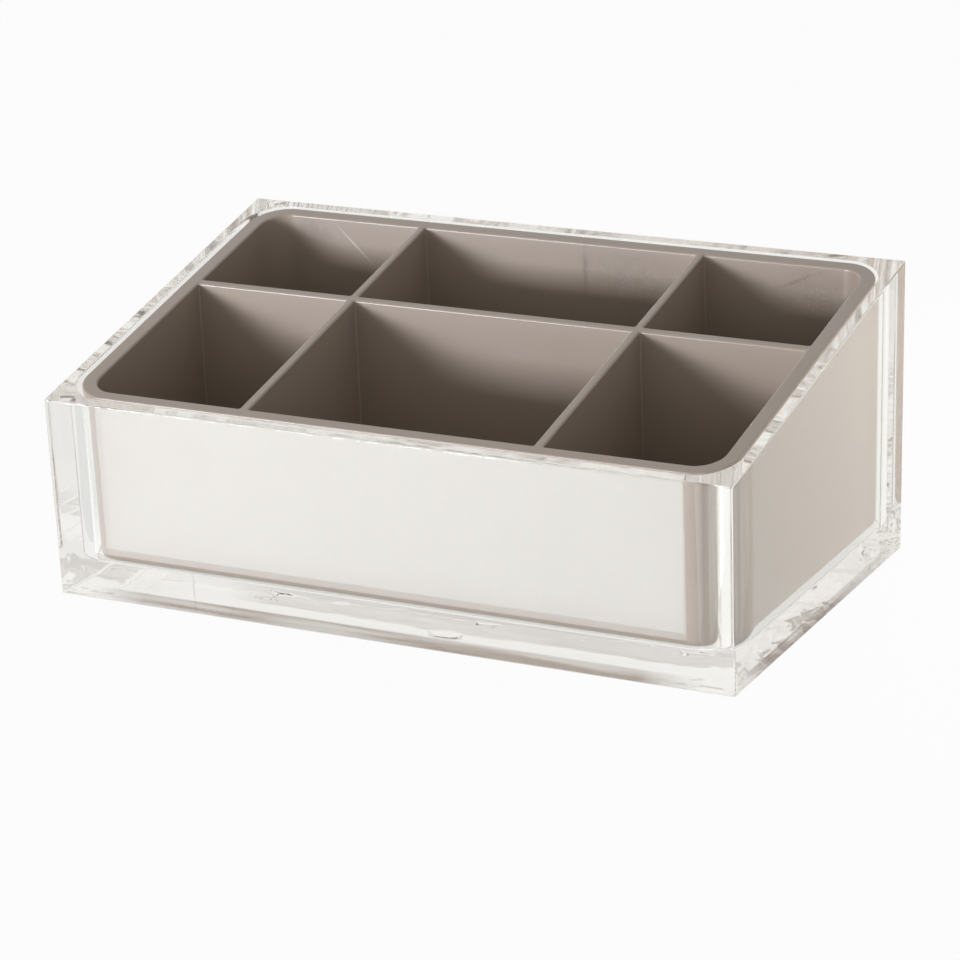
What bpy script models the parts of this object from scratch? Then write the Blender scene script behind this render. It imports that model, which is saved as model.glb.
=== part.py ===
import math

import bmesh
import bpy
from mathutils import Vector

# Drawer organizer: a clear acrylic case with a slanted top, and an opaque
# tray with six compartments that drops into it. Metres, +Z up. The origin is
# on the surface that the case stands on, under the middle of its outline.
# The front is towards -Y and the left side towards -X.

# Case
case_width = 0.2200
case_depth = 0.1286
case_front_height = 0.0609
case_back_height = 0.0897
case_wall = 0.0037
case_base = 0.0109
case_corner_radius = 0.0005
case_edge_radius = 0.0005
cavity_corner_radius = 0.0125
cavity_floor_radius = 0.0012
cavity_lip_radius = 0.0005

# Round mark that the mould's gate leaves in the middle of the cavity's floor
gate_mark_diameter = 0.0110
gate_mark_depth = 0.0005

# Tray, which drops in with play on all sides and lies nearer the right side
tray_side_play = 0.00105
tray_front_play = 0.0008
tray_seat_gap = 0.0003
tray_offset = 0.0007
tray_floor = 0.0026
tray_foot_radius = 0.0023

# The tray's body lies in a little from its rim
body_side_inset = 0.0016
body_front_inset = 0.0003
body_corner_radius = 0.0108

# The tray's flat rim, which reaches out over its body
rim_side_width = 0.0047
rim_front_width = 0.0038
rim_thickness = 0.0016
rim_corner_radius = 0.0118
rim_edge_radius = 0.0004

# Compartments: three columns in two rows, measured at the back rim's height
middle_column_width = 0.0918
back_row_depth = 0.0446
divider_thickness = 0.0023
pocket_corner_radius = 0.0080
pocket_inner_radius = 0.0006
pocket_floor_radius = 0.0020
pocket_lip_radius = 0.0006

# Both mouldings widen upwards by this share of their height on each side
draft_share = 0.0117

least_radius = 0.0002
overrun = 0.0050

# Facets on each quarter turn
corner_steps = 12
pocket_steps = 8
small_steps = 3
edge_steps = 3
lip_steps = 5
floor_steps = 5
mark_steps = 32

# Colours as they look in daylight
case_colour = "F4F6F5"
tray_colour = "A39A93"


def linear_colour(code):
    """Linear RGBA of a hexadecimal sRGB colour."""
    channels = []
    for start in (0, 2, 4):
        value = int(code[start:start + 2], 16) / 255
        if value <= 0.04045:
            channels.append(value / 12.92)
        else:
            channels.append(((value + 0.055) / 1.055) ** 2.4)
    return (*channels, 1.0)


def make_material(name, code, roughness, transmission=0.0, ior=1.5):
    """A Principled material of one colour."""
    material = bpy.data.materials.new(name)
    material.use_nodes = True
    shader = material.node_tree.nodes["Principled BSDF"]
    shader.inputs["Base Color"].default_value = linear_colour(code)
    shader.inputs["Metallic"].default_value = 0.0
    shader.inputs["Roughness"].default_value = roughness
    shader.inputs["Transmission Weight"].default_value = transmission
    shader.inputs["IOR"].default_value = ior
    material.diffuse_color = linear_colour(code)
    return material


def top_level(y):
    """Height of the slanted top above a place y."""
    rise = case_back_height - case_front_height
    return case_front_height + rise * (y / case_depth + 0.5)


class Outline:
    """A rectangle with rounded corners, as it is at the back rim's height.

    Its faces lean in below that height by the draft. A corner has its own
    radius and number of facets, counted from the back right anticlockwise.
    """

    def __init__(self, left, right, front, back, radii, steps, lean):
        self.left = left
        self.right = right
        self.front = front
        self.back = back
        self.radii = radii
        self.steps = steps
        self.lean = lean

    def places(self):
        """Corner number and angle of each point."""
        found = []
        for corner, steps in enumerate(self.steps):
            for step in range(steps + 1):
                found.append((corner, (corner + step / steps) * math.pi / 2))
        return found

    def point(self, corner, angle, level, offset):
        """Point at a level, with its face moved out by an offset."""
        move = offset + self.lean * (level - case_back_height)
        radius = max(self.radii[corner] + move, least_radius)
        if corner in (0, 3):
            x = self.right + move - radius
        else:
            x = self.left - move + radius
        if corner in (0, 1):
            y = self.back + move - radius
        else:
            y = self.front - move + radius
        return Vector((x + radius * math.cos(angle), y + radius * math.sin(angle), level))

    def level_ring(self, level, offset):
        """Points of the outline at one height."""
        return [self.point(*place, level, offset) for place in self.places()]

    def slant_ring(self, depth, offset):
        """Points of the outline at a depth below the slanted top."""
        ring = []
        for place in self.places():
            spot = self.point(*place, case_back_height, offset)
            for _ in range(4):
                spot = self.point(*place, top_level(spot.y) - depth, offset)
            ring.append(spot)
        return ring


def foot_rings(outline, bottom, radius):
    """Rings of a rounded lower edge, from the flat bottom up."""
    rings = []
    for step in range(floor_steps + 1):
        turn = step / floor_steps * math.pi / 2
        rings.append(outline.level_ring(bottom + radius * (1 - math.cos(turn)), -radius * (1 - math.sin(turn))))
    return rings


def rim_rings(outline, radius):
    """Rings of a rounded edge that closes on the slanted top."""
    rings = []
    for step in range(edge_steps + 1):
        turn = step / edge_steps * math.pi / 2
        rings.append(outline.slant_ring(radius * (1 - math.sin(turn)), -radius * (1 - math.cos(turn))))
    return rings


def mouth_rings(outline, radius):
    """Rings of a rounded edge that opens through the slanted top."""
    rings = []
    for step in range(lip_steps):
        turn = step / lip_steps * math.pi / 2
        rings.append(outline.slant_ring(radius * (1 - math.sin(turn)), radius * (1 - math.cos(turn))))
    rings.append(outline.slant_ring(-overrun, radius))
    return rings


def add_loft(mesh, rings, origin):
    """Skin a stack of rings and close both ends."""
    loops = [[mesh.verts.new(spot - origin) for spot in ring] for ring in rings]
    count = len(loops[0])
    for lower, upper in zip(loops, loops[1:]):
        for index in range(count):
            after = (index + 1) % count
            mesh.faces.new((lower[index], lower[after], upper[after], upper[index]))
    mesh.faces.new(list(reversed(loops[0])))
    mesh.faces.new(loops[-1])


def make_object(name, mesh, origin, material):
    """Put a finished mesh in the scene at its origin."""
    bmesh.ops.recalc_face_normals(mesh, faces=mesh.faces[:])
    data = bpy.data.meshes.new(name)
    mesh.to_mesh(data)
    mesh.free()
    data.shade_smooth()
    data.set_sharp_from_angle(angle=math.radians(32))
    thing = bpy.data.objects.new(name, data)
    thing.location = origin
    bpy.context.scene.collection.objects.link(thing)
    if material:
        data.materials.append(material)
    return thing


def cut(thing, cutter):
    """Cut one object out of another."""
    cutter.hide_render = True
    cutter.display_type = "WIRE"
    cutter.parent = thing
    cutter.location = (0, 0, 0)
    modifier = thing.modifiers.new(cutter.name, "BOOLEAN")
    modifier.operation = "DIFFERENCE"
    modifier.solver = "EXACT"
    modifier.object = cutter


def case_outline():
    """Outside of the case, with the slanted top's front edge at full depth."""
    lead = draft_share * (case_back_height - case_front_height)
    return Outline(
        -case_width / 2,
        case_width / 2,
        -case_depth / 2 - lead,
        case_depth / 2,
        [case_corner_radius] * 4,
        [small_steps] * 4,
        draft_share,
    )


def cavity_outline():
    """Inside of the case, one wall in from its outside."""
    outside = case_outline()
    return Outline(
        outside.left + case_wall,
        outside.right - case_wall,
        outside.front + case_wall,
        outside.back - case_wall,
        [cavity_corner_radius] * 4,
        [corner_steps] * 4,
        draft_share,
    )


def rim_outline():
    """Outside of the tray's rim, in the cavity with its play."""
    cavity = cavity_outline()
    return Outline(
        cavity.left + tray_side_play + tray_offset,
        cavity.right - tray_side_play + tray_offset,
        cavity.front + tray_front_play,
        cavity.back - tray_front_play,
        [rim_corner_radius] * 4,
        [corner_steps] * 4,
        draft_share,
    )


def body_outline():
    """Outside of the tray below its rim."""
    rim = rim_outline()
    return Outline(
        rim.left + body_side_inset,
        rim.right - body_side_inset,
        rim.front + body_front_inset,
        rim.back - body_front_inset,
        [body_corner_radius] * 4,
        [corner_steps] * 4,
        draft_share,
    )


def pocket_outlines():
    """The six compartments, from the back row to the front row."""
    rim = rim_outline()
    left = rim.left + rim_side_width
    right = rim.right - rim_side_width
    front = rim.front + rim_front_width
    back = rim.back - rim_front_width
    middle = (left + right) / 2
    columns = (
        (left, middle - middle_column_width / 2 - divider_thickness),
        (middle - middle_column_width / 2, middle + middle_column_width / 2),
        (middle + middle_column_width / 2 + divider_thickness, right),
    )
    rows = (
        (back - back_row_depth, back),
        (front, back - back_row_depth - divider_thickness),
    )
    outlines = []
    for low_y, high_y in rows:
        for low_x, high_x in columns:
            radii = []
            steps = []
            for at_x, at_y in ((high_x, high_y), (low_x, high_y), (low_x, low_y), (high_x, low_y)):
                if at_x in (left, right) and at_y in (front, back):
                    radii.append(pocket_corner_radius)
                    steps.append(pocket_steps)
                else:
                    radii.append(pocket_inner_radius)
                    steps.append(small_steps)
            outlines.append(Outline(low_x, high_x, low_y, high_y, radii, steps, draft_share))
    return outlines


def make_case(material):
    """Clear case: a solid base and four walls round a cavity."""
    origin = Vector((0, 0, 0))
    outside = case_outline()
    mesh = bmesh.new()
    add_loft(mesh, foot_rings(outside, 0, case_edge_radius) + rim_rings(outside, case_edge_radius), origin)
    case = make_object("case", mesh, origin, material)

    cavity = cavity_outline()
    mesh = bmesh.new()
    rings = foot_rings(cavity, case_base, cavity_floor_radius) + mouth_rings(cavity, cavity_lip_radius)
    add_loft(mesh, rings, origin)
    cut(case, make_object("cavity_cutter", mesh, origin, None))

    mesh = bmesh.new()
    bmesh.ops.create_cone(
        mesh,
        cap_ends=True,
        segments=mark_steps,
        radius1=gate_mark_diameter / 2,
        radius2=gate_mark_diameter / 2,
        depth=gate_mark_depth + overrun,
    )
    bmesh.ops.translate(mesh, verts=mesh.verts[:], vec=(0, 0, case_base + (overrun - gate_mark_depth) / 2))
    cut(case, make_object("gate_mark_cutter", mesh, origin, None))
    return case


def make_tray(material):
    """Tray: one moulding with six compartments under a slanted rim."""
    bottom = case_base + tray_seat_gap
    origin = Vector((tray_offset, 0, bottom))
    body = body_outline()
    rim = rim_outline()
    rings = foot_rings(body, bottom, tray_foot_radius) + [body.slant_ring(rim_thickness, 0)]
    rings += [rim.slant_ring(rim_thickness, 0)] + rim_rings(rim, rim_edge_radius)
    mesh = bmesh.new()
    add_loft(mesh, rings, origin)
    tray = make_object("tray", mesh, origin, material)

    mesh = bmesh.new()
    for pocket in pocket_outlines():
        rings = foot_rings(pocket, bottom + tray_floor, pocket_floor_radius)
        add_loft(mesh, rings + mouth_rings(pocket, pocket_lip_radius), origin)
    cut(tray, make_object("pocket_cutter", mesh, origin, None))
    return tray


for old in list(bpy.data.objects):
    bpy.data.objects.remove(old, do_unlink=True)

make_case(make_material("clear_acrylic", case_colour, 0.03, transmission=1.0, ior=1.49))
make_tray(make_material("tray_plastic", tray_colour, 0.35))
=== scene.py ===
import math

import bpy
from mathutils import Matrix, Vector


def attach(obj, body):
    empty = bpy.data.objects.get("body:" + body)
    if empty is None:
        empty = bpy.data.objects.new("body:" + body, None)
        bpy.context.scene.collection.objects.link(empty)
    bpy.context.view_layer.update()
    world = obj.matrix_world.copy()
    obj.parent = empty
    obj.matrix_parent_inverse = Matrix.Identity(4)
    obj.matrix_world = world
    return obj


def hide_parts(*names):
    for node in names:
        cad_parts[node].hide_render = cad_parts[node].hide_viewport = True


# Drawer organizer: a thick clear acrylic case with a slanted top, and a taupe
# tray with six compartments that lies loose in it. Metres, +Z up, the low
# front towards -Y.

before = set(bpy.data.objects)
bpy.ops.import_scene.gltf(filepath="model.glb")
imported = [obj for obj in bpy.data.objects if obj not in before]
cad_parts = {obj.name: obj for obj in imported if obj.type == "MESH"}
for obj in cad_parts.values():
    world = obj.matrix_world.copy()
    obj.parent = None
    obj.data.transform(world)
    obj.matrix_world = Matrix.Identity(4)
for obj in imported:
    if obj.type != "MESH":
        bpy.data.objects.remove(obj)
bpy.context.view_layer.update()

# ---------------------------------------------------------------- sizes

case_size = {
    "Width": 0.2200,
    "Depth": 0.1286,
    "Front height": 0.0609,
    "Back height": 0.0897,
    "Wall": 0.0037,
    "Base": 0.0109,
    "Corner radius": 0.0006,
    "Edge radius": 0.0005,
    "Cavity corner radius": 0.0125,
    "Cavity floor radius": 0.0012,
    "Mouth radius": 0.0005,
    "Gate mark diameter": 0.0110,
    "Gate mark depth": 0.0005,
    "Draft share": 0.0117,
}
# The tray lies loose in the case, nearer its right side
tray_offset = 0.0007
tray_side_play = 0.00105
tray_front_play = 0.0008
tray_seat_gap = 0.0003
tray_size = {
    "Floor": 0.0026,
    "Foot radius": 0.0023,
    "Body side inset": 0.0016,
    "Body front inset": 0.0003,
    "Body corner radius": 0.0108,
    "Rim side width": 0.0047,
    "Rim front width": 0.0038,
    "Rim thickness": 0.0016,
    "Rim corner radius": 0.0118,
    "Rim edge radius": 0.0004,
    "Middle column": 0.0918,
    "Back row": 0.0446,
    "Divider": 0.0023,
    "Pocket corner radius": 0.0080,
    "Pocket inner radius": 0.0006,
    "Pocket floor radius": 0.0020,
    "Pocket mouth radius": 0.0006,
}

# The draft moves the slanted top's front edge out to the full depth
draft_lead = case_size["Draft share"] * (case_size["Back height"] - case_size["Front height"])

# Points nearer than this are one, and edges nearer than this to a plane lie in it
weld_distance = 1e-6
plane_tolerance = 1e-5

# Compartments
column_count = 3
row_count = 2

# ---------------------------------------------------------------- nodes

def add_node(tree, kind, settings=None, values=None):
    """Add a node, set its options, and fill its inputs with values or links.

    A node among the values stands for its first output.
    """
    node = tree.nodes.new(kind)
    for option, value in (settings or {}).items():
        setattr(node, option, value)
    for socket, value in (values or {}).items():
        if isinstance(value, bpy.types.Node):
            value = value.outputs[0]
        if isinstance(value, bpy.types.NodeSocket):
            tree.links.new(value, node.inputs[socket])
        else:
            node.inputs[socket].default_value = value
    return node


def new_tree(name, inputs):
    """A geometry tree with named inputs and one geometry output."""
    tree = bpy.data.node_groups.new(name, "GeometryNodeTree")
    for label, kind in inputs.items():
        tree.interface.new_socket(label, in_out="INPUT", socket_type="NodeSocket" + kind)
    tree.interface.new_socket("Mesh", in_out="OUTPUT", socket_type="NodeSocketGeometry")
    return tree, tree.nodes.new("NodeGroupInput").outputs


# ---------------------------------------------------------------- shapes

def wall_tree():
    """Group that runs a wall round a path, from its foot to the slanted top.

    The path is centred on zero. A solid's rim rounds inwards (side -1) and a
    hollow's mouth rounds outwards (side 1). The foot is level, or with a foot
    slant of 1 it slants like the top. Both ends stay open.
    """
    tree, given = new_tree("Moulded wall", {
        "Path": "Geometry",
        "Centre": "Vector",
        "Bottom": "Float",
        "Front top": "Float",
        "Back top": "Float",
        "Depth": "Float",
        "Foot radius": "Float",
        "Rim radius": "Float",
        "Side": "Float",
        "Draft share": "Float",
        "Foot slant": "Float",
        "Edge steps": "Int",
    })
    inner_foot = add_node(
        tree, "ShaderNodeMath", {"operation": "MULTIPLY"}, {0: given["Foot radius"], 1: -1.0}
    )
    rim_reach = add_node(
        tree, "ShaderNodeMath", {"operation": "MULTIPLY"}, {0: given["Rim radius"], 1: given["Side"]}
    )
    corners = [
        (inner_foot, given["Bottom"]),
        (0.0, given["Bottom"]),
        (0.0, given["Back top"]),
        (rim_reach, given["Back top"]),
    ]
    outline = add_node(tree, "GeometryNodeCurvePrimitiveQuadrilateral", {"mode": "POINTS"})
    for index, (reach, level) in enumerate(corners):
        corner = add_node(tree, "ShaderNodeCombineXYZ", values={"X": reach, "Y": level})
        tree.links.new(corner.outputs[0], outline.inputs[f"Point {index + 1}"])
    opened = add_node(tree, "GeometryNodeSetSplineCyclic", values={"Geometry": outline, "Cyclic": False})
    place = add_node(tree, "GeometryNodeInputIndex")
    at_foot = add_node(
        tree, "FunctionNodeCompare", {"data_type": "INT", "operation": "EQUAL"}, {2: place, 3: 1}
    )
    radius = add_node(
        tree,
        "GeometryNodeSwitch",
        {"input_type": "FLOAT"},
        {"Switch": at_foot, "False": given["Rim radius"], "True": given["Foot radius"]},
    )
    profile = add_node(
        tree,
        "GeometryNodeFilletCurve",
        {"mode": "POLY"},
        {"Curve": opened, "Count": given["Edge steps"], "Radius": radius},
    )
    # A path's profile hangs head down, so it is turned over, and it keeps how far it reaches out
    upright = add_node(tree, "GeometryNodeTransform", values={"Geometry": profile, "Scale": (1.0, -1.0, 1.0)})
    spot = add_node(tree, "GeometryNodeInputPosition")
    parts = add_node(tree, "ShaderNodeSeparateXYZ", values={0: spot})
    kept = add_node(tree, "GeometryNodeCaptureAttribute", values={"Geometry": upright})
    kept.capture_items.new("FLOAT", "Reach")
    tree.links.new(parts.outputs["X"], kept.inputs["Reach"])
    path = add_node(tree, "GeometryNodeSetCurveNormal", {"mode": "Z_UP"}, {"Curve": given["Path"]})
    strip = add_node(
        tree,
        "GeometryNodeCurveToMesh",
        values={"Curve": path, "Profile Curve": kept.outputs["Geometry"]},
    )

    # Where an edge is rounder than the path's corner, its rings end in a plain corner
    extent = add_node(tree, "GeometryNodeBoundBox", values={"Geometry": given["Path"], "Use Radius": False})
    reach = add_node(
        tree,
        "ShaderNodeCombineXYZ",
        values={"X": kept.outputs["Reach"], "Y": kept.outputs["Reach"], "Z": 1.0},
    )
    limit = add_node(tree, "ShaderNodeVectorMath", {"operation": "ADD"}, {0: extent.outputs["Max"], 1: reach})
    size = add_node(tree, "ShaderNodeVectorMath", {"operation": "ABSOLUTE"}, {0: spot})
    size = add_node(tree, "ShaderNodeVectorMath", {"operation": "MINIMUM"}, {0: size, 1: limit})
    quarter = add_node(tree, "ShaderNodeVectorMath", {"operation": "SIGN"}, {0: spot})

    # The upper rings drop to the slanted top, and every ring leans in below
    # the back rim's height by the draft. One depends on the other, so they
    # are worked out a few times, which settles them.
    settling_rounds = 3
    middle = add_node(
        tree, "ShaderNodeMath", {"operation": "ADD"}, {0: given["Bottom"], 1: given["Front top"]}
    )
    middle = add_node(tree, "ShaderNodeMath", {"operation": "MULTIPLY"}, {0: middle, 1: 0.5})
    upper = add_node(
        tree, "ShaderNodeMath", {"operation": "GREATER_THAN"}, {0: parts.outputs["Z"], 1: middle}
    )
    upper = add_node(tree, "ShaderNodeMath", {"operation": "MAXIMUM"}, {0: upper, 1: given["Foot slant"]})
    half = add_node(tree, "ShaderNodeMath", {"operation": "MULTIPLY"}, {0: given["Depth"], 1: 0.5})
    minus_half = add_node(tree, "ShaderNodeMath", {"operation": "MULTIPLY"}, {0: given["Depth"], 1: -0.5})
    settled = spot
    for _ in range(settling_rounds):
        placed = add_node(
            tree, "ShaderNodeVectorMath", {"operation": "ADD"}, {0: settled, 1: given["Centre"]}
        )
        placed = add_node(tree, "ShaderNodeSeparateXYZ", values={0: placed})
        top = add_node(
            tree,
            "ShaderNodeMapRange",
            {"clamp": False},
            {
                "Value": placed.outputs["Y"],
                "From Min": minus_half,
                "From Max": half,
                "To Min": given["Front top"],
                "To Max": given["Back top"],
            },
        )
        drop = add_node(tree, "ShaderNodeMath", {"operation": "SUBTRACT"}, {0: given["Back top"], 1: top})
        drop = add_node(tree, "ShaderNodeMath", {"operation": "MULTIPLY"}, {0: drop, 1: upper})
        level = add_node(tree, "ShaderNodeMath", {"operation": "SUBTRACT"}, {0: parts.outputs["Z"], 1: drop})
        below = add_node(tree, "ShaderNodeMath", {"operation": "SUBTRACT"}, {0: given["Back top"], 1: level})
        lean = add_node(
            tree, "ShaderNodeMath", {"operation": "MULTIPLY"}, {0: below, 1: given["Draft share"]}
        )
        leaning = add_node(tree, "ShaderNodeVectorMath", {"operation": "SUBTRACT"}, {0: size, 1: lean})
        settled = add_node(tree, "ShaderNodeVectorMath", {"operation": "MULTIPLY"}, {0: leaning, 1: quarter})
    settled = add_node(tree, "ShaderNodeVectorMath", {"operation": "ADD"}, {0: settled, 1: given["Centre"]})
    settled = add_node(tree, "ShaderNodeSeparateXYZ", values={0: settled})
    settled = add_node(
        tree,
        "ShaderNodeCombineXYZ",
        values={"X": settled.outputs["X"], "Y": settled.outputs["Y"], "Z": level},
    )
    moved = add_node(tree, "GeometryNodeSetPosition", values={"Geometry": strip, "Position": settled})
    welded = add_node(
        tree, "GeometryNodeMergeByDistance", values={"Geometry": moved, "Distance": weld_distance}
    )
    solid = add_node(tree, "ShaderNodeMath", {"operation": "LESS_THAN"}, {0: given["Side"], 1: 0.0})
    turned = add_node(tree, "GeometryNodeFlipFaces", values={"Mesh": welded, "Selection": solid})
    add_node(tree, "NodeGroupOutput", values={"Mesh": turned})
    return tree


def fill_tree():
    """Group that closes the open edges that lie in a plane with a flat face."""
    tree, given = new_tree("Flat face", {
        "Mesh": "Geometry",
        "Front level": "Float",
        "Back level": "Float",
        "Depth": "Float",
        "Face down": "Bool",
    })
    spot = add_node(tree, "GeometryNodeInputPosition")
    parts = add_node(tree, "ShaderNodeSeparateXYZ", values={0: spot})
    half = add_node(tree, "ShaderNodeMath", {"operation": "MULTIPLY"}, {0: given["Depth"], 1: 0.5})
    minus_half = add_node(tree, "ShaderNodeMath", {"operation": "MULTIPLY"}, {0: given["Depth"], 1: -0.5})
    level = add_node(
        tree,
        "ShaderNodeMapRange",
        {"clamp": False},
        {
            "Value": parts.outputs["Y"],
            "From Min": minus_half,
            "From Max": half,
            "To Min": given["Front level"],
            "To Max": given["Back level"],
        },
    )
    in_plane = add_node(
        tree,
        "FunctionNodeCompare",
        {"data_type": "FLOAT", "operation": "EQUAL"},
        {"A": parts.outputs["Z"], "B": level, "Epsilon": plane_tolerance},
    )
    neighbours = add_node(tree, "GeometryNodeInputMeshEdgeNeighbors")
    is_open = add_node(
        tree, "FunctionNodeCompare", {"data_type": "INT", "operation": "EQUAL"}, {2: neighbours, 3: 1}
    )
    chosen = add_node(tree, "FunctionNodeBooleanMath", {"operation": "AND"}, {0: is_open, 1: in_plane})
    loops = add_node(tree, "GeometryNodeMeshToCurve", values={"Mesh": given["Mesh"], "Selection": chosen})
    face = add_node(tree, "GeometryNodeFillCurve", {"mode": "TRIANGLES"}, {"Curve": loops})
    lift = add_node(tree, "ShaderNodeCombineXYZ", values={"Z": level})
    raised = add_node(tree, "GeometryNodeSetPosition", values={"Geometry": face, "Offset": lift})
    turned = add_node(tree, "GeometryNodeFlipFaces", values={"Mesh": raised, "Selection": given["Face down"]})
    joined = add_node(tree, "GeometryNodeJoinGeometry")
    tree.links.new(turned.outputs[0], joined.inputs[0])
    tree.links.new(given["Mesh"], joined.inputs[0])
    welded = add_node(
        tree, "GeometryNodeMergeByDistance", values={"Geometry": joined, "Distance": weld_distance}
    )
    add_node(tree, "NodeGroupOutput", values={"Mesh": welded})
    return tree


def close_planes(tree, face, shape, depth, planes):
    """Close the edges that lie open in each plane, given by its front and back level."""
    for front, back, down in planes:
        shape = add_node(tree, "GeometryNodeGroup", {"node_tree": face}, {
            "Mesh": shape,
            "Front level": front,
            "Back level": back,
            "Depth": depth,
            "Face down": down,
        })
    return shape


def finish_tree(tree, shape, material):
    """Smooth, real and painted: the last nodes of a piece's tree."""
    smooth = add_node(tree, "GeometryNodeSetShadeSmooth", values={"Geometry": shape})
    real = add_node(tree, "GeometryNodeRealizeInstances", values={"Geometry": smooth})
    painted = add_node(tree, "GeometryNodeSetMaterial", values={"Geometry": real, "Material": material})
    add_node(tree, "NodeGroupOutput", values={"Mesh": painted})


def rounded_wall(tree, wall, given, width, depth, radius, values):
    """A moulded wall round a rectangle with rounded corners."""
    path = add_node(tree, "GeometryNodeCurvePrimitiveQuadrilateral", values={"Width": width, "Height": depth})
    rounded = add_node(
        tree,
        "GeometryNodeFilletCurve",
        {"mode": "POLY"},
        {"Curve": path, "Count": given["Corner steps"], "Radius": radius},
    )
    return add_node(tree, "GeometryNodeGroup", {"node_tree": wall}, {
        "Path": rounded,
        "Depth": given["Depth"],
        "Draft share": given["Draft share"],
        "Edge steps": given["Edge steps"],
        **values,
    })


def case_tree(wall, face):
    """The case: outside, cavity, the round gate mark in its floor, four flat faces."""
    tree, given = new_tree("Case moulding", {
        **{label: "Float" for label in case_size},
        "Centre": "Vector",
        "Corner steps": "Int",
        "Edge steps": "Int",
        "Material": "Material",
    })
    mark_level = add_node(
        tree, "ShaderNodeMath", {"operation": "SUBTRACT"}, {0: given["Base"], 1: given["Gate mark depth"]}
    )
    cavity_width = add_node(
        tree, "ShaderNodeMath", {"operation": "MULTIPLY_ADD"}, {0: given["Wall"], 1: -2.0, 2: given["Width"]}
    )
    # The slanted top's front edge is at full depth, so the front starts further out by its draft
    rise = add_node(
        tree, "ShaderNodeMath", {"operation": "SUBTRACT"}, {0: given["Back height"], 1: given["Front height"]}
    )
    full_depth = add_node(
        tree,
        "ShaderNodeMath",
        {"operation": "MULTIPLY_ADD"},
        {0: rise, 1: given["Draft share"], 2: given["Depth"]},
    )
    cavity_depth = add_node(
        tree, "ShaderNodeMath", {"operation": "MULTIPLY_ADD"}, {0: given["Wall"], 1: -2.0, 2: full_depth}
    )
    top = {"Centre": given["Centre"], "Front top": given["Front height"], "Back top": given["Back height"]}
    outside = rounded_wall(tree, wall, given, given["Width"], full_depth, given["Corner radius"], {
        **top,
        "Bottom": 0.0,
        "Foot radius": given["Edge radius"],
        "Rim radius": given["Edge radius"],
        "Side": -1.0,
    })
    cavity = rounded_wall(tree, wall, given, cavity_width, cavity_depth, given["Cavity corner radius"], {
        **top,
        "Bottom": given["Base"],
        "Foot radius": given["Cavity floor radius"],
        "Rim radius": given["Mouth radius"],
        "Side": 1.0,
    })
    mark_facets = 64
    mark_round_share = 0.4
    mark_radius = add_node(
        tree, "ShaderNodeMath", {"operation": "MULTIPLY"}, {0: given["Gate mark diameter"], 1: 0.5}
    )
    circle = add_node(
        tree, "GeometryNodeCurvePrimitiveCircle", values={"Resolution": mark_facets, "Radius": mark_radius}
    )
    mark_round = add_node(
        tree, "ShaderNodeMath", {"operation": "MULTIPLY"}, {0: given["Gate mark depth"], 1: mark_round_share}
    )
    mark = add_node(tree, "GeometryNodeGroup", {"node_tree": wall}, {
        "Path": circle,
        "Bottom": mark_level,
        "Front top": given["Base"],
        "Back top": given["Base"],
        "Depth": given["Depth"],
        "Foot radius": mark_round,
        "Rim radius": mark_round,
        "Side": 1.0,
        "Edge steps": given["Edge steps"],
    })
    joined = add_node(tree, "GeometryNodeJoinGeometry")
    for strip in (outside, cavity, mark):
        tree.links.new(strip.outputs[0], joined.inputs[0])
    shape = close_planes(tree, face, joined, given["Depth"], (
        (0.0, 0.0, True),
        (mark_level, mark_level, False),
        (given["Base"], given["Base"], False),
        (given["Front height"], given["Back height"], False),
    ))
    finish_tree(tree, shape, given["Material"])
    return tree


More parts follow.
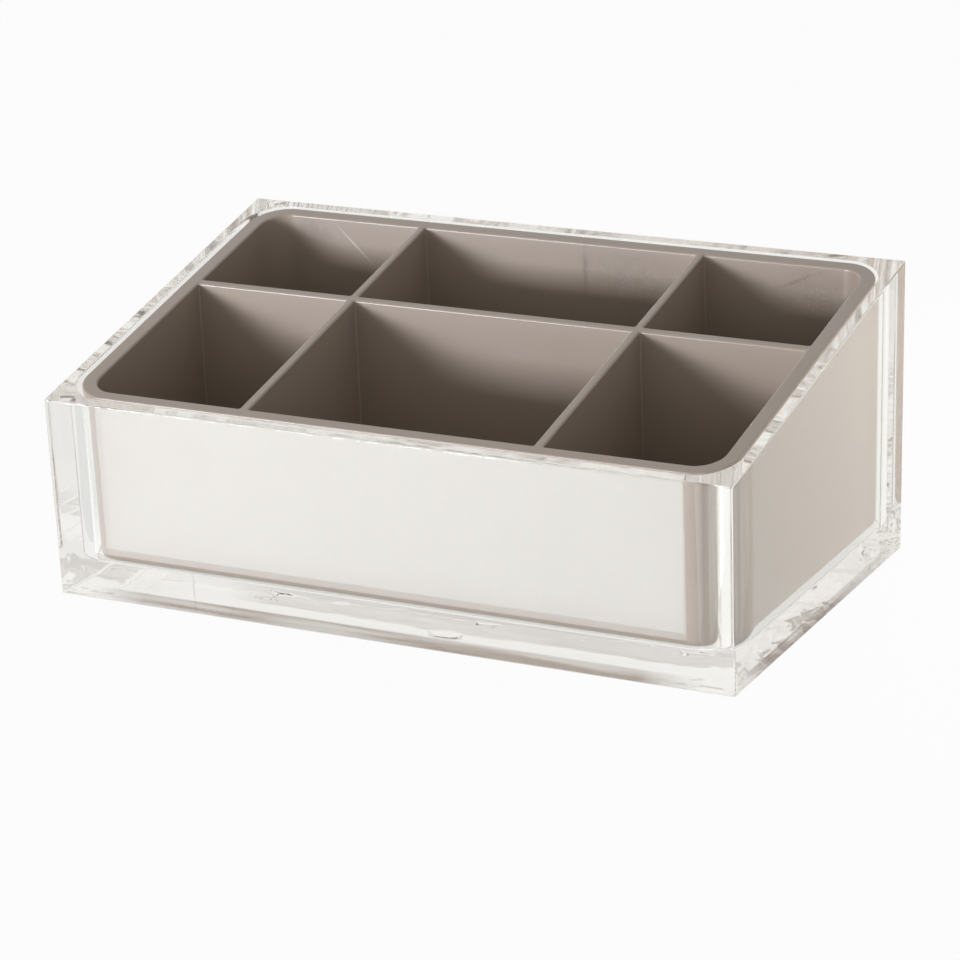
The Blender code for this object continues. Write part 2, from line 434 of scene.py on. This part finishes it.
def tray_tree(wall, face):
    """The tray: its outside, six compartments in three columns and two rows, and flat faces."""
    tree, given = new_tree("Tray moulding", {
        "Width": "Float",
        "Outline depth": "Float",
        "Centre": "Vector",
        "Bottom": "Float",
        "Front height": "Float",
        "Back height": "Float",
        "Depth": "Float",
        "Draft share": "Float",
        **{label: "Float" for label in tray_size},
        "Corner steps": "Int",
        "Edge steps": "Int",
        "Material": "Material",
    })
    # Inside of the rim, and the body, which lies in a little from the rim
    inner_width, inner_depth, body_width, body_depth = (
        add_node(
            tree, "ShaderNodeMath", {"operation": "MULTIPLY_ADD"}, {0: given[inset], 1: -2.0, 2: given[whole]}
        )
        for inset, whole in (
            ("Rim side width", "Width"),
            ("Rim front width", "Outline depth"),
            ("Body side inset", "Width"),
            ("Body front inset", "Outline depth"),
        )
    )
    half_inner = add_node(tree, "ShaderNodeCombineXYZ", values={"X": inner_width, "Y": inner_depth})
    half_inner = add_node(tree, "ShaderNodeVectorMath", {"operation": "SCALE"}, {0: half_inner, "Scale": 0.5})

    # The side columns and the front row take what the middle column and the back row leave
    sides = add_node(
        tree, "ShaderNodeMath", {"operation": "SUBTRACT"}, {0: inner_width, 1: given["Middle column"]}
    )
    side_column = add_node(tree, "ShaderNodeMath", {"operation": "MULTIPLY"}, {0: sides, 1: 0.5})
    side_column = add_node(
        tree, "ShaderNodeMath", {"operation": "SUBTRACT"}, {0: side_column, 1: given["Divider"]}
    )
    front_row = add_node(
        tree, "ShaderNodeMath", {"operation": "SUBTRACT"}, {0: inner_depth, 1: given["Back row"]}
    )
    front_row = add_node(
        tree, "ShaderNodeMath", {"operation": "SUBTRACT"}, {0: front_row, 1: given["Divider"]}
    )
    floor_level = add_node(
        tree, "ShaderNodeMath", {"operation": "ADD"}, {0: given["Bottom"], 1: given["Floor"]}
    )

    # The rim and the body meet at the rim's slanted underside
    front_underside = add_node(
        tree,
        "ShaderNodeMath",
        {"operation": "SUBTRACT"},
        {0: given["Front height"], 1: given["Rim thickness"]},
    )
    back_underside = add_node(
        tree,
        "ShaderNodeMath",
        {"operation": "SUBTRACT"},
        {0: given["Back height"], 1: given["Rim thickness"]},
    )
    body = rounded_wall(tree, wall, given, body_width, body_depth, given["Body corner radius"], {
        "Centre": given["Centre"],
        "Bottom": given["Bottom"],
        "Front top": front_underside,
        "Back top": back_underside,
        "Foot radius": given["Foot radius"],
        "Rim radius": 0.0,
        "Side": -1.0,
    })
    rim_span = given["Width"], given["Outline depth"]
    rim = rounded_wall(tree, wall, given, *rim_span, given["Rim corner radius"], {
        "Centre": given["Centre"],
        "Bottom": back_underside,
        "Front top": given["Front height"],
        "Back top": given["Back height"],
        "Foot radius": 0.0,
        "Rim radius": given["Rim edge radius"],
        "Side": -1.0,
        "Foot slant": 1.0,
    })
    outside = add_node(tree, "GeometryNodeJoinGeometry")
    for strip in (body, rim):
        tree.links.new(strip.outputs[0], outside.inputs[0])

    start = add_node(tree, "GeometryNodeRepeatInput")
    end = add_node(tree, "GeometryNodeRepeatOutput")
    start.pair_with_output(end)
    start.inputs["Iterations"].default_value = column_count * row_count
    column = add_node(
        tree,
        "ShaderNodeMath",
        {"operation": "FLOORED_MODULO"},
        {0: start.outputs["Iteration"], 1: column_count},
    )
    row = add_node(
        tree, "ShaderNodeMath", {"operation": "DIVIDE"}, {0: start.outputs["Iteration"], 1: column_count}
    )
    row = add_node(tree, "ShaderNodeMath", {"operation": "FLOOR"}, {0: row})
    # -1, 0 or 1 from left to right, and 1 or -1 from the back row to the front row
    across = add_node(tree, "ShaderNodeMath", {"operation": "SUBTRACT"}, {0: column, 1: 1.0})
    along = add_node(tree, "ShaderNodeMath", {"operation": "MULTIPLY_ADD"}, {0: row, 1: -2.0, 2: 1.0})
    outer = add_node(tree, "ShaderNodeMath", {"operation": "ABSOLUTE"}, {0: across})
    pocket_width = add_node(
        tree,
        "ShaderNodeMix",
        {"data_type": "FLOAT"},
        {"Factor": outer, 2: given["Middle column"], 3: side_column},
    )
    pocket_depth = add_node(
        tree,
        "ShaderNodeMix",
        {"data_type": "FLOAT"},
        {"Factor": row, 2: given["Back row"], 3: front_row},
    )
    pocket_size = add_node(tree, "ShaderNodeCombineXYZ", values={"X": pocket_width, "Y": pocket_depth})
    half_pocket = add_node(
        tree, "ShaderNodeVectorMath", {"operation": "SCALE"}, {0: pocket_size, "Scale": 0.5}
    )
    reach = add_node(
        tree,
        "ShaderNodeVectorMath",
        {"operation": "SUBTRACT"},
        {0: half_inner, 1: half_pocket},
    )
    quarter = add_node(tree, "ShaderNodeCombineXYZ", values={"X": across, "Y": along})
    pocket_place = add_node(tree, "ShaderNodeVectorMath", {"operation": "MULTIPLY"}, {0: reach, 1: quarter})
    pocket_centre = add_node(
        tree, "ShaderNodeVectorMath", {"operation": "ADD"}, {0: pocket_place, 1: given["Centre"]}
    )

    # A corner that is also the tray's corner gets the large radius
    spot = add_node(tree, "GeometryNodeInputPosition")
    in_tray = add_node(tree, "ShaderNodeVectorMath", {"operation": "ADD"}, {0: spot, 1: pocket_place})
    in_tray = add_node(tree, "ShaderNodeVectorMath", {"operation": "ABSOLUTE"}, {0: in_tray})
    inside_by = add_node(tree, "ShaderNodeVectorMath", {"operation": "DISTANCE"}, {0: in_tray, 1: half_inner})
    at_corner = add_node(
        tree,
        "ShaderNodeMath",
        {"operation": "LESS_THAN"},
        {0: inside_by.outputs["Value"], 1: given["Divider"]},
    )
    pocket_radius = add_node(
        tree,
        "GeometryNodeSwitch",
        {"input_type": "FLOAT"},
        {
            "Switch": at_corner,
            "False": given["Pocket inner radius"],
            "True": given["Pocket corner radius"],
        },
    )
    pocket = rounded_wall(tree, wall, given, pocket_width, pocket_depth, pocket_radius, {
        "Centre": pocket_centre,
        "Bottom": floor_level,
        "Front top": given["Front height"],
        "Back top": given["Back height"],
        "Foot radius": given["Pocket floor radius"],
        "Rim radius": given["Pocket mouth radius"],
        "Side": 1.0,
    })
    gathered = add_node(tree, "GeometryNodeJoinGeometry")
    tree.links.new(pocket.outputs[0], gathered.inputs[0])
    tree.links.new(start.outputs["Geometry"], gathered.inputs[0])
    tree.links.new(gathered.outputs[0], end.inputs["Geometry"])
    tree.links.new(outside.outputs[0], start.inputs["Geometry"])

    shape = close_planes(tree, face, end.outputs["Geometry"], given["Depth"], (
        (given["Bottom"], given["Bottom"], True),
        (front_underside, back_underside, True),
        (floor_level, floor_level, False),
        (given["Front height"], given["Back height"], False),
    ))
    finish_tree(tree, shape, given["Material"])
    return tree


def make_piece(name, tree, values, body, node):
    """Evaluate a tree and keep its result as a plain mesh that stands for a CAD node."""
    even_weight = 50
    source = bpy.data.objects.new(name + "_source", bpy.data.meshes.new(name + "_source"))
    bpy.context.scene.collection.objects.link(source)
    shape = source.modifiers.new("Shape", "NODES")
    shape.node_group = tree
    sockets = {item.name: item.identifier for item in tree.interface.items_tree if item.in_out == "INPUT"}
    for label, value in values.items():
        shape[sockets[label]] = value
    normals = source.modifiers.new("Flat faces stay flat", "WEIGHTED_NORMAL")
    normals.mode = "FACE_AREA"
    normals.weight = even_weight
    graph = bpy.context.evaluated_depsgraph_get()
    mesh = bpy.data.meshes.new_from_object(source.evaluated_get(graph), depsgraph=graph)
    mesh.name = name
    bpy.data.objects.remove(source, do_unlink=True)
    piece = bpy.data.objects.new(name, mesh)
    bpy.context.scene.collection.objects.link(piece)
    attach(piece, body)
    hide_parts(node)
    return piece


# ---------------------------------------------------------------- materials

def linear(code):
    """Linear RGBA of an sRGB hex colour."""
    channels = [int(code[start:start + 2], 16) / 255 for start in (0, 2, 4)]
    return (*(c / 12.92 if c <= 0.04045 else ((c + 0.055) / 1.055) ** 2.4 for c in channels), 1.0)


def per_metre(millimetres):
    """Texture scale that gives a pattern this many millimetres across."""
    return 1000.0 / millimetres


def new_material(name):
    """A material, its tree and its Principled shader."""
    material = bpy.data.materials.new(name)
    material.use_nodes = True
    tree = material.node_tree
    return material, tree, tree.nodes["Principled BSDF"]


def clear_acrylic():
    """Clear acrylic (PMMA), injection moulded and polished.

    Thick and water clear. The cooling wall sinks a little, most at the thick
    base, so what shows through it and in it waves. Streaks of the tray's
    taupe along the base are painted into its colour: a painted reflection
    of the tray and painted shade of the table beneath.
    """
    material, tree, shader = new_material("clear acrylic")
    shader.inputs["Metallic"].default_value = 0.0
    shader.inputs["IOR"].default_value = 1.49
    shader.inputs["Transmission Weight"].default_value = 1.0
    spot = add_node(tree, "ShaderNodeTexCoord")
    place = spot.outputs["Object"]
    x, y, height = add_node(tree, "ShaderNodeSeparateXYZ", values={0: place}).outputs
    turned = add_node(tree, "ShaderNodeSeparateXYZ", values={0: spot.outputs["Normal"]})
    level = add_node(tree, "ShaderNodeMath", {"operation": "ABSOLUTE"}, {0: turned.outputs["Z"]})
    upright = add_node(tree, "ShaderNodeMath", {"operation": "SUBTRACT"}, {0: 1.0, 1: level})

    # How far aside a place lies. The ends of the depth count like the ends of the width.
    width_past_depth = 0.0400
    across = add_node(tree, "ShaderNodeMath", {"operation": "ABSOLUTE"}, {0: x})
    deep = add_node(tree, "ShaderNodeMath", {"operation": "ABSOLUTE"}, {0: y})
    deep = add_node(tree, "ShaderNodeMath", {"operation": "ADD"}, {0: deep, 1: width_past_depth})
    aside = add_node(tree, "ShaderNodeMath", {"operation": "MINIMUM"}, {0: across, 1: deep})

    # Patterns: where they lie, their size in millimetres and their detail.
    # Two are drawn out along the walls.
    squeeze = 0.035
    drawn_out = add_node(
        tree, "ShaderNodeMapping", values={"Vector": place, "Scale": (squeeze, squeeze, 1.0)}
    )
    pattern = {
        name: add_node(
            tree, "ShaderNodeTexNoise", values={"Vector": where, "Scale": per_metre(size), "Detail": detail}
        )
        for name, where, size, detail in (
            ("streak", drawn_out, 2.2, 2.0),
            ("sink", place, 22.0, 2.0),
            ("wave", drawn_out, 5.0, 1.0),
            ("ripple", place, 9.0, 1.0),
        )
    }
    pattern["sink"].inputs["Roughness"].default_value = 0.45

    # Bands: what they are measured on, from where to where, and what they give at each end.
    # The last three are depths in metres.
    band = {
        name: add_node(
            tree,
            "ShaderNodeMapRange",
            values={"Value": measure, "From Min": start, "From Max": end, "To Min": first, "To Max": last},
        )
        for name, measure, start, end, first, last in (
            ("streaked", pattern["streak"], 0.40, 0.60, 0.65, 1.0),
            ("lower edge", height, 0.0038, 0.0044, 1.0, 0.0),
            ("front half", y, 0.010, 0.040, 1.0, 0.55),
            ("base", height, 0.0080, 0.0095, 1.0, 0.0),
            ("front skin", y, -0.0636, -0.0630, 0.10, 0.0),
            ("corner", aside, 0.080, 0.098, 0.0, 1.0),
            ("clear column", aside, 0.100, 0.104, 0.0, 1.0),
            ("below tray", height, 0.0090, 0.0125, 1.0, 0.0),
            ("haze", level, 0.90, 0.96, 0.0, 0.05),
            ("sink", level, 0.3, 0.9, 0.00001, 0.00012),
            ("wave", height, 0.008, 0.012, 0.00022, 0.0),
            ("ripple", height, 0.010, 0.030, 0.00050, 0.00003),
        )
    }

    # Painted reflection and shade: streaks of the tray's taupe, strongest along the base's lower edge and in
    # front
    painted_edge_shade = add_node(
        tree, "ShaderNodeMath", {"operation": "MULTIPLY"}, {0: band["lower edge"], 1: band["front half"]}
    )
    painted_front_reflection = add_node(
        tree, "ShaderNodeMath", {"operation": "MULTIPLY"}, {0: band["base"], 1: band["front skin"]}
    )
    painted_reflection_and_shade = add_node(tree, "ShaderNodeMath", {"operation": "MAXIMUM"}, {0: painted_edge_shade, 1: painted_front_reflection})
    away = add_node(tree, "ShaderNodeMath", {"operation": "SUBTRACT"}, {0: 1.0, 1: band["corner"]})
    for share in (band["streaked"], upright, away):
        painted_reflection_and_shade = add_node(tree, "ShaderNodeMath", {"operation": "MULTIPLY"}, {0: painted_reflection_and_shade, 1: share})
    # The painted taupe, a painted reflection of the tray and painted shade of the table beneath, goes into
    # the base colour
    painted_taupe_tint = add_node(
        tree,
        "ShaderNodeMix",
        {"data_type": "RGBA"},
        {"Factor": painted_reflection_and_shade, 6: linear("F8F8F5"), 7: linear("7A6A5C")},
    )
    tree.links.new(painted_taupe_tint.outputs[2], shader.inputs["Base Color"])

    # The rim is a little satin
    rim_starts = 0.05
    high = add_node(tree, "ShaderNodeMath", {"operation": "GREATER_THAN"}, {0: height, 1: rim_starts})
    haze = add_node(tree, "ShaderNodeMath", {"operation": "MULTIPLY"}, {0: band["haze"], 1: high})
    tree.links.new(haze.outputs[0], shader.inputs["Roughness"])

    # Level faces sink most. Long waves run along the base, strongest in front.
    least_wave = 0.06
    facing = add_node(tree, "ShaderNodeMath", {"operation": "MULTIPLY"}, {0: turned.outputs["Y"], 1: -1.0})
    facing = add_node(tree, "ShaderNodeMath", {"operation": "MAXIMUM"}, {0: facing, 1: least_wave})
    waved = add_node(tree, "ShaderNodeMath", {"operation": "MULTIPLY"}, {0: band["wave"], 1: facing})

    # Short ripples in the base's corners. They climb the clear corner columns,
    # but stay off what lies in front of the tray.
    rippled = add_node(
        tree, "ShaderNodeMath", {"operation": "MULTIPLY"}, {0: band["below tray"], 1: band["corner"]}
    )
    rippled = add_node(
        tree, "ShaderNodeMath", {"operation": "MAXIMUM"}, {0: rippled, 1: band["clear column"]}
    )
    rippled = add_node(tree, "ShaderNodeMath", {"operation": "MULTIPLY"}, {0: rippled, 1: band["ripple"]})

    under = {}
    for name, dent in (("sink", band["sink"]), ("wave", waved), ("ripple", rippled)):
        surface = add_node(
            tree, "ShaderNodeBump", values={"Height": pattern[name], "Distance": dent, **under}
        )
        under = {"Normal": surface}
    tree.links.new(surface.outputs[0], shader.inputs["Normal"])
    depth = add_node(tree, "ShaderNodeVolumeAbsorption", values={"Color": linear("D8CBBB"), "Density": 1.1})
    tree.links.new(depth.outputs[0], tree.nodes["Material Output"].inputs["Volume"])
    return material


def soft_mark(tree, place, middle, reach, tilt):
    """Strength of a soft mark on a wall: 1 in its middle, 0 at its reach on each axis."""
    near = add_node(
        tree,
        "ShaderNodeMapping",
        {"vector_type": "TEXTURE"},
        {"Vector": place, "Location": middle, "Rotation": (0.0, -math.radians(tilt), 0.0), "Scale": reach},
    )
    return add_node(
        tree, "ShaderNodeTexGradient", {"gradient_type": "SPHERICAL"}, {"Vector": near}
    ).outputs["Fac"]


def tray_plastic():
    """Taupe ABS, injection moulded against a lightly etched tool.

    Half gloss: a broad soft highlight, a fine grain, faint weld marks where
    the melt met high on the back wall, and darker spots there that are
    partly painted shade.
    """
    material, tree, shader = new_material("taupe ABS")
    place = add_node(tree, "ShaderNodeTexCoord").outputs["Object"]
    flow = add_node(tree, "ShaderNodeMapping", values={"Vector": place, "Scale": (1.0, 1.0, 0.35)})
    flow = add_node(
        tree,
        "ShaderNodeTexNoise",
        values={"Vector": flow, "Scale": per_metre(30.0), "Detail": 2.0, "Distortion": 0.2},
    )
    tone = add_node(tree, "ShaderNodeValToRGB", values={"Fac": flow})
    for element, position, code in zip(tone.color_ramp.elements, (0.0, 1.0), ("9A8B7D", "9E8F81")):
        element.position = position
        element.color = linear(code)
    grain = add_node(
        tree, "ShaderNodeTexNoise", values={"Vector": place, "Scale": per_metre(0.35), "Detail": 1.0}
    )

    # Weld marks and darker spots high on the back wall: middle, reach, tilt in degrees and strength. The last
    # two, broad and soft, are painted shade that darkens the wall's lit top
    back_wall = 0.0548
    deep = 0.0080
    dark = None
    for middle, reach, tilt, strength in (
        ((0.0095, back_wall, 0.0800), (0.0014, deep, 0.0120), 0.0, 0.75),
        ((0.0800, back_wall, 0.0830), (0.0105, deep, 0.0011), 24.0, 0.75),
        ((-0.0850, back_wall, 0.0845), (0.0080, deep, 0.0035), -20.0, 0.60),
        ((0.0250, back_wall, 0.0780), (0.0240, deep, 0.0130), 0.0, 0.35),
        ((0.0860, back_wall, 0.0790), (0.0160, deep, 0.0100), 0.0, 0.45),
    ):
        mark = soft_mark(tree, place, middle, reach, tilt)
        mark = add_node(tree, "ShaderNodeMath", {"operation": "MULTIPLY"}, {0: mark, 1: strength})
        if dark:
            mark = add_node(tree, "ShaderNodeMath", {"operation": "MAXIMUM"}, {0: dark, 1: mark})
        dark = mark
    patchy = add_node(
        tree, "ShaderNodeTexNoise", values={"Vector": place, "Scale": per_metre(3.0), "Detail": 3.0}
    )
    patchy = add_node(
        tree,
        "ShaderNodeMapRange",
        values={"Value": patchy, "From Min": 0.35, "From Max": 0.65, "To Min": 0.5, "To Max": 1.0},
    )
    weld_marks_and_painted_shade = add_node(tree, "ShaderNodeMath", {"operation": "MULTIPLY"}, {0: dark, 1: patchy})

    # A fine light weld line in the back left compartment, and light dust in the dark marks
    lightest = 0.7
    line = soft_mark(tree, place, (-0.0705, back_wall, 0.0800), (0.0100, deep, 0.0005), -43.0)
    dust = add_node(
        tree,
        "ShaderNodeMapRange",
        values={"Value": grain, "From Min": 0.60, "From Max": 0.72, "To Min": 0.0, "To Max": 1.6},
    )
    dust = add_node(tree, "ShaderNodeMath", {"operation": "MULTIPLY"}, {0: dust, 1: dark})
    light = add_node(tree, "ShaderNodeMath", {"operation": "MAXIMUM"}, {0: line, 1: dust})
    light = add_node(tree, "ShaderNodeMath", {"operation": "MULTIPLY"}, {0: light, 1: lightest})
    tone = tone.outputs["Color"]
    # The weld marks and the painted shade darken the base colour, and the light line and dust lighten it
    for share, code in ((weld_marks_and_painted_shade, "5F544A"), (light, "D2C8BE")):
        tone = add_node(
            tree, "ShaderNodeMix", {"data_type": "RGBA"}, {"Factor": share, 6: tone, 7: linear(code)}
        ).outputs[2]
    tree.links.new(tone, shader.inputs["Base Color"])
    bump = add_node(
        tree, "ShaderNodeBump", values={"Height": grain, "Strength": 0.5, "Distance": 0.000001}
    )
    tree.links.new(bump.outputs[0], shader.inputs["Normal"])
    shader.inputs["Roughness"].default_value = 0.28
    shader.inputs["IOR"].default_value = 1.52
    shader.inputs["Specular IOR Level"].default_value = 0.65
    return material


# ---------------------------------------------------------------- pieces

wall = wall_tree()
face = fill_tree()
full_depth = case_size["Depth"] + draft_lead
shared_size = {
    "Centre": (0.0, -draft_lead / 2, 0.0),
    "Front height": case_size["Front height"],
    "Back height": case_size["Back height"],
    "Depth": case_size["Depth"],
    "Draft share": case_size["Draft share"],
    "Edge steps": 5,
}

clear_case = make_piece(
    "clear_case",
    case_tree(wall, face),
    {**case_size, **shared_size, "Corner steps": 40, "Material": clear_acrylic()},
    "case",
    "case",
)
make_piece(
    "tray_moulding",
    tray_tree(wall, face),
    {
        **tray_size,
        **shared_size,
        "Centre": (tray_offset, -draft_lead / 2, 0.0),
        "Width": case_size["Width"] - 2 * (case_size["Wall"] + tray_side_play),
        "Outline depth": full_depth - 2 * (case_size["Wall"] + tray_front_play),
        "Bottom": case_size["Base"] + tray_seat_gap,
        "Corner steps": 24,
        "Material": tray_plastic(),
    },
    "tray",
    "tray",
)

# Lamps light the tray as if the clear case weren't there, which spares the
# noise of light focused by its walls
clear_case.visible_shadow = False
clear_case.visible_diffuse = False

# ---------------------------------------------------------------- stage

def lamp(name, place, target, size, power, colour):
    """A rectangular soft box that faces a point."""
    data = bpy.data.lights.new(name, "AREA")
    data.shape = "RECTANGLE"
    data.size, data.size_y = size
    data.energy = power
    data.color = colour
    box = bpy.data.objects.new(name, data)
    box.location = place
    box.rotation_euler = (Vector(target) - Vector(place)).to_track_quat("-Z", "Y").to_euler()
    bpy.context.scene.collection.objects.link(box)
    box.visible_camera = False
    return box


def flat_sheet(name, corners, level, material):
    """A level sheet of one material."""
    sheet = bpy.data.meshes.new(name)
    sheet.from_pydata([(x, y, level) for x, y in corners], [], [tuple(range(len(corners)))])
    sheet.materials.append(material)
    thing = bpy.data.objects.new(name, sheet)
    bpy.context.scene.collection.objects.link(thing)
    return thing


def seen_rays(tree):
    """Kinds of rays, and 1 on those that see the studio itself, not what it lights."""
    path = add_node(tree, "ShaderNodeLightPath").outputs
    seen = path["Is Camera Ray"]
    for kind in ("Is Glossy Ray", "Is Transmission Ray"):
        seen = add_node(tree, "ShaderNodeMath", {"operation": "MAXIMUM"}, {0: seen, 1: path[kind]})
    return path, seen


# It stands low, so its light reaches the upper part of the compartments' walls only
key = lamp("key soft box", (-0.90, -1.32, 0.145), (0.0, 0.0, 0.04), (0.64, 0.27), 22.5, (1.0, 1.03, 1.13))
key.visible_transmission = False


def card(name, corners, strength, colour=(1.0, 1.0, 1.0)):
    """A bright card that lies on the table, which only a shine shows.

    Light that has turned more than once inside the base finds it as dim as
    the table, so that it leaves no sparks there.
    """
    past_one_turn = 1.5
    dim = 0.9
    card_level = 0.0002
    material, tree, shader = new_material(name)
    tree.nodes.remove(shader)
    turns = add_node(tree, "ShaderNodeLightPath").outputs["Glossy Depth"]
    direct = add_node(tree, "ShaderNodeMath", {"operation": "LESS_THAN"}, {0: turns, 1: past_one_turn})
    power = add_node(
        tree, "ShaderNodeMath", {"operation": "MULTIPLY_ADD"}, {0: direct, 1: strength - dim, 2: dim}
    )
    glow = add_node(tree, "ShaderNodeEmission", values={"Color": (*colour, 1.0), "Strength": power})
    tree.links.new(glow.outputs[0], tree.nodes["Material Output"].inputs["Surface"])
    thing = flat_sheet(name, corners, card_level, material)
    thing.visible_camera = False
    thing.visible_diffuse = False
    thing.visible_shadow = False


# The first starts where the shine of the tray's foot ends, and its sides lie
# along mirrored lines of sight, so the shine ends where the tray's corners
# turn. The others give the corners their bright edges.
card(
    "front card",
    [(-0.1172, -0.095), (0.0806, -0.095), (-0.1069, -0.510), (-0.3980, -0.510)],
    4.7,
    (0.81, 0.91, 0.98),
)
card("left card", [(-0.1345, -0.096), (-0.4193, -0.510), (-0.80, -0.510), (-0.80, 0.0), (-0.17, 0.0)], 0.8)
card(
    "corner card",
    [(0.0868, -0.090), (-0.1029, -0.510), (0.60, -0.510), (0.60, -0.410), (0.160, -0.075)],
    2.4,
)
card("right card", [(0.165, -0.067), (0.60, -0.400), (0.80, -0.10), (0.60, 0.0), (0.20, -0.02)], 2.3)

# A low strip beside the object, below its rim, that lights the right side only
strip = lamp("right strip", (0.28, 0.20, 0.075), (0.0, 0.05, 0.060), (0.32, 0.05), 0.66, (1.0, 0.95, 0.89))
strip.visible_glossy = False
strip.visible_transmission = False


def studio():
    """A white room whose walls give more light than its ceiling."""
    wall_light = 0.68
    ceiling_light = 0.38
    ceiling_edge = 0.9
    world = bpy.data.worlds.new("studio")
    world.use_nodes = True
    tree = world.node_tree
    tree.nodes.clear()
    seen = seen_rays(tree)[1]
    direction = add_node(tree, "ShaderNodeTexCoord").outputs["Generated"]
    direction = add_node(tree, "ShaderNodeSeparateXYZ", values={0: direction})
    strength = add_node(
        tree,
        "ShaderNodeMapRange",
        values={
            "Value": direction.outputs["Z"],
            "From Min": 0.0,
            "From Max": ceiling_edge,
            "To Min": wall_light,
            "To Max": ceiling_light,
        },
    )
    white = (1.0, 1.0, 1.0, 1.0)
    lit = add_node(tree, "ShaderNodeBackground", values={"Color": white, "Strength": strength})
    shown = add_node(tree, "ShaderNodeBackground", values={"Color": white, "Strength": 1.0})
    both = add_node(tree, "ShaderNodeMixShader", values={0: seen, 1: lit, 2: shown})
    add_node(tree, "ShaderNodeOutputWorld", values={"Surface": both})
    return world


bpy.context.scene.world = studio()


def white_table():
    """White laminate table top, lit to a plain white, that keeps the object's shadow."""
    seen_glow = 0.88
    camera_glow = 0.95
    material, tree, shader = new_material("white table")
    shader.inputs["Base Color"].default_value = (0.8, 0.8, 0.8, 1.0)
    shader.inputs["Roughness"].default_value = 0.9
    shader.inputs["Specular IOR Level"].default_value = 0.0
    path, seen = seen_rays(tree)
    shown = add_node(tree, "ShaderNodeMath", {"operation": "MULTIPLY"}, {0: seen, 1: seen_glow})
    in_view = add_node(
        tree, "ShaderNodeMath", {"operation": "MULTIPLY"}, {0: path["Is Camera Ray"], 1: camera_glow}
    )
    share = add_node(tree, "ShaderNodeMath", {"operation": "MAXIMUM"}, {0: shown, 1: in_view})
    glow = add_node(tree, "ShaderNodeEmission", values={"Color": (1.0, 1.0, 1.0, 1.0), "Strength": 1.0})
    both = add_node(tree, "ShaderNodeMixShader", values={0: share, 1: shader, 2: glow})
    tree.links.new(both.outputs[0], tree.nodes["Material Output"].inputs["Surface"])
    return material


reach = 6.0
table_level = -0.0003
table_corners = [(-reach, -reach), (reach, -reach), (reach, reach), (-reach, reach)]
table_top = flat_sheet("table", table_corners, table_level, white_table())

# ---------------------------------------------------------------- camera

# Fitted to the photograph's corners and seams
azimuth, elevation, roll = (math.radians(angle) for angle in (27.623, 19.054, -2.195))
distance = 1.0864
aside = -0.0001
above = -0.0085
aim = Vector((0.0, 0.0, 0.03766))
forward = Vector((
    -math.sin(azimuth) * math.cos(elevation),
    math.cos(azimuth) * math.cos(elevation),
    -math.sin(elevation),
))
level_right = Vector((math.cos(azimuth), math.sin(azimuth), 0.0))
level_up = level_right.cross(forward)
right = math.cos(roll) * level_right + math.sin(roll) * level_up
up = -math.sin(roll) * level_right + math.cos(roll) * level_up

camera = bpy.data.objects.new("camera", bpy.data.cameras.new("camera"))
camera.data.sensor_width = 36.0
camera.data.lens = 137.4
camera.data.clip_start = 0.05
camera.location = aim - forward * distance + level_right * aside + level_up * above
camera.rotation_euler = Matrix((right, up, -forward)).transposed().to_euler()
bpy.context.scene.collection.objects.link(camera)
bpy.context.scene.camera = camera

bpy.context.scene.view_settings.view_transform = "Standard"

# Light turns many times inside the thick base before it leaves
most_bounces = 96
cycles = bpy.context.scene.cycles
cycles.max_bounces = most_bounces
cycles.transmission_bounces = most_bounces
cycles.glossy_bounces = most_bounces
cycles.transparent_max_bounces = 16
